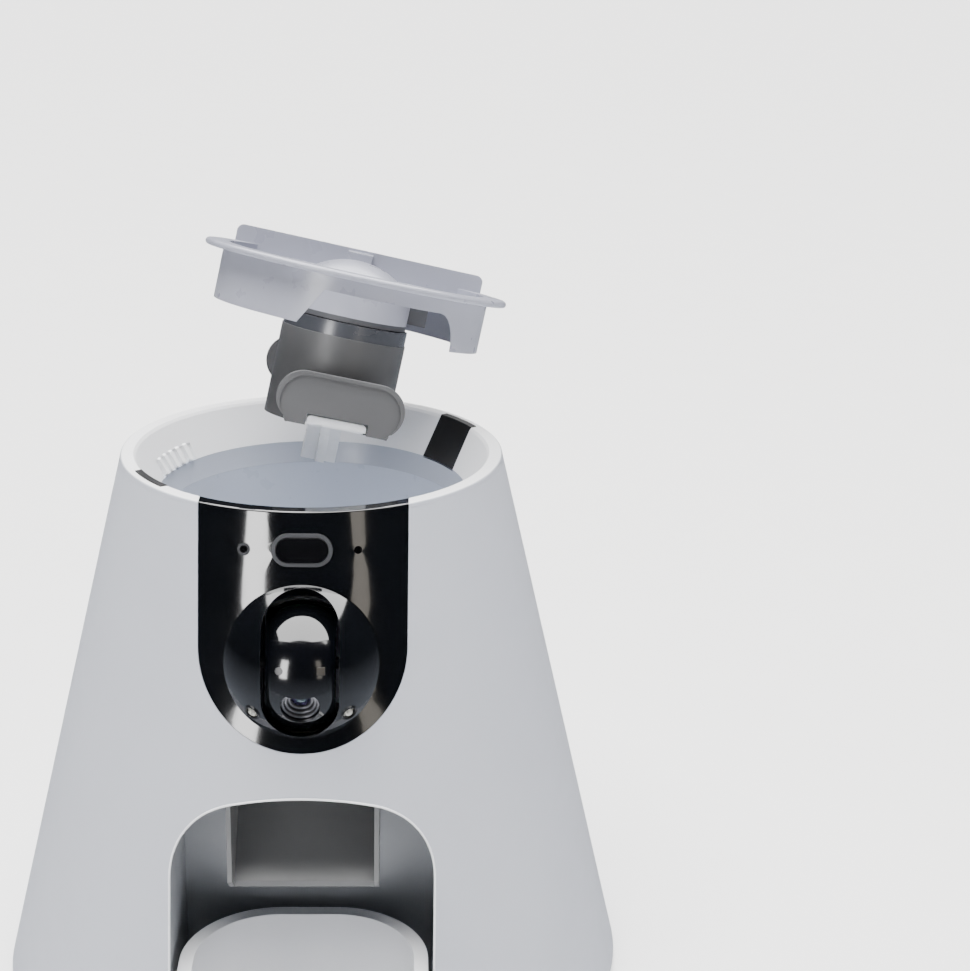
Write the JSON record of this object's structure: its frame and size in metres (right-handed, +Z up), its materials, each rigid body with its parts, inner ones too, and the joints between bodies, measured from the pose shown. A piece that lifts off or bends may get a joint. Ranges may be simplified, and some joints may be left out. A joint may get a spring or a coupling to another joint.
{
  "type": "automatic pet feeder with camera",
  "caption": "Conical automatic pet feeder base with a tilting camera in a black front panel, a bowl alcove and a lifted dispensing insert with a paddle rotor.",
  "frame": {"origin": "on the floor, at the centre of the middle foot, under the rim's centre", "axes": "+Z up along the body's axis, front with the camera towards -Y, +X to the viewer's right"},
  "size_m": [0.24, 0.292, 0.2894],
  "materials": {
    "shell_white": "soft matte",
    "rim_white": "satin",
    "panel_black": "gloss",
    "head_black": "gloss",
    "button_black": "satin",
    "ring_grey": "satin",
    "ring_bright": "polished",
    "led_clear": "clear",
    "lens_glass": "coated",
    "sensor_tan": "matte",
    "chamber_grey": "satin",
    "chute_grey": "satin",
    "frame_dark": "matte",
    "board_green": "satin",
    "steel": "satin",
    "brass": "satin",
    "gear_white": "satin",
    "box_cream": "satin",
    "rubber_grey": "matte",
    "insert_white": "satin",
    "seal_dark": "matte",
    "slate": "gloss",
    "rotor_grey": "matte",
    "paddle_grey": "matte",
    "core_white": "translucent"
  },
  "bodies": {
    "feeder": {"outer_shell": "shell_white", "rim_ring": "rim_white", "sensor_window_right": "panel_black", "sensor_window_left": "panel_black", "front_panel": "panel_black", "button_ring": "ring_grey", "set_ring": "ring_bright", "microphone": "steel", "camera_dome": "panel_black", "led_left": "led_clear", "led_right": "led_clear", "camera_yoke": "frame_dark", "camera_screws": "steel", "tilt_motor": "steel", "panel_board": "board_green", "switches": "frame_dark", "ir_emitter": "frame_dark", "ir_receiver": "frame_dark", "seat_ring": "chamber_grey", "chamber": "chamber_grey", "chamber_floor": "chamber_grey", "chute": "chute_grey", "alcove_liner": "chamber_grey", "gearbox_housing": "box_cream", "gearbox_cover": "box_cream", "gearbox_screws": "steel", "output_bush": "brass", "idler_pin": "steel", "drive_motor": "steel", "main_board": "board_green", "speaker": "frame_dark", "dc_jack": "frame_dark", "base_plate": "shell_white", "base_screws": "steel", "feet": "rubber_grey"},
    "insert": {"insert_cover": "insert_white", "hub_seal": "seal_dark", "wiper": "seal_dark", "rotor_axle": "steel"},
    "rotor": {"hub_ring": "slate", "rotor_hub": "rotor_grey", "paddle_front": "paddle_grey", "paddle_back": "paddle_grey", "drive_core": "core_white", "axle_clip": "steel"},
    "drive": {"output_gear": "gear_white"},
    "idler": {"idler_gear": "gear_white"},
    "motor_rotor": {"motor_pinion": "brass"},
    "camera_head": {"head_shell": "head_black", "head_window": "head_black", "light_sensor": "sensor_tan", "status_light": "led_clear", "lens_barrel": "head_black", "lens_glass": "lens_glass", "tilt_pin": "steel", "image_board": "board_green"},
    "feed_key": {"feed_button": "button_black"},
    "set_key": {"set_button": "button_black"},
    "bowl_body": {"bowl": "rim_white"}
  },
  "joints": [
    {"name": "insert_lift", "type": "hinge", "parent": "feeder", "child": "insert", "pos_m": [0.21971, 0.20133, 0.1558], "axis": [-0.6756, 0.7373, 0], "range_deg": [-15.9, 0]},
    {"name": "rotor_spin", "type": "hinge", "parent": "insert", "child": "rotor", "pos_m": [0.00962, 0.00881, 0.24321], "axis": [0.202, 0.1851, 0.9617], "continuous": true},
    {"name": "drive_spin", "type": "hinge", "parent": "feeder", "child": "drive", "pos_m": [0, 0, 0.115], "axis": [0, 0, 1], "continuous": true},
    {"name": "idler_spin", "type": "hinge", "parent": "feeder", "child": "idler", "pos_m": [0, 0.024, 0.109], "axis": [0, 0, 1], "continuous": true},
    {"name": "motor_spin", "type": "hinge", "parent": "feeder", "child": "motor_rotor", "pos_m": [0.01556, 0.03956, 0.105], "axis": [0, 0, 1], "continuous": true},
    {"name": "camera_tilt", "type": "hinge", "parent": "feeder", "child": "camera_head", "pos_m": [0, -0.07054, 0.15518], "axis": [-1, 0, 0], "range_deg": [-25, 40]},
    {"name": "feed_press", "type": "slide", "parent": "feeder", "child": "feed_key", "axis": [0, 0.9718, -0.2359], "range_m": [0, 0.001], "stiffness_N_per_m": 800},
    {"name": "set_press", "type": "slide", "parent": "feeder", "child": "set_key", "axis": [0, 0.9718, -0.2359], "range_m": [0, 0.0006], "stiffness_N_per_m": 800},
    {"name": "bowl_slide", "type": "slide", "parent": "feeder", "child": "bowl_body", "axis": [0, -1, 0], "range_m": [0, 0.13]}
  ],
  "couplings": [
    {"joint": "drive_spin", "follows": "rotor_spin", "ratio": 1},
    {"joint": "idler_spin", "follows": "rotor_spin", "ratio": -3},
    {"joint": "motor_spin", "follows": "rotor_spin", "ratio": 8}
  ]
}
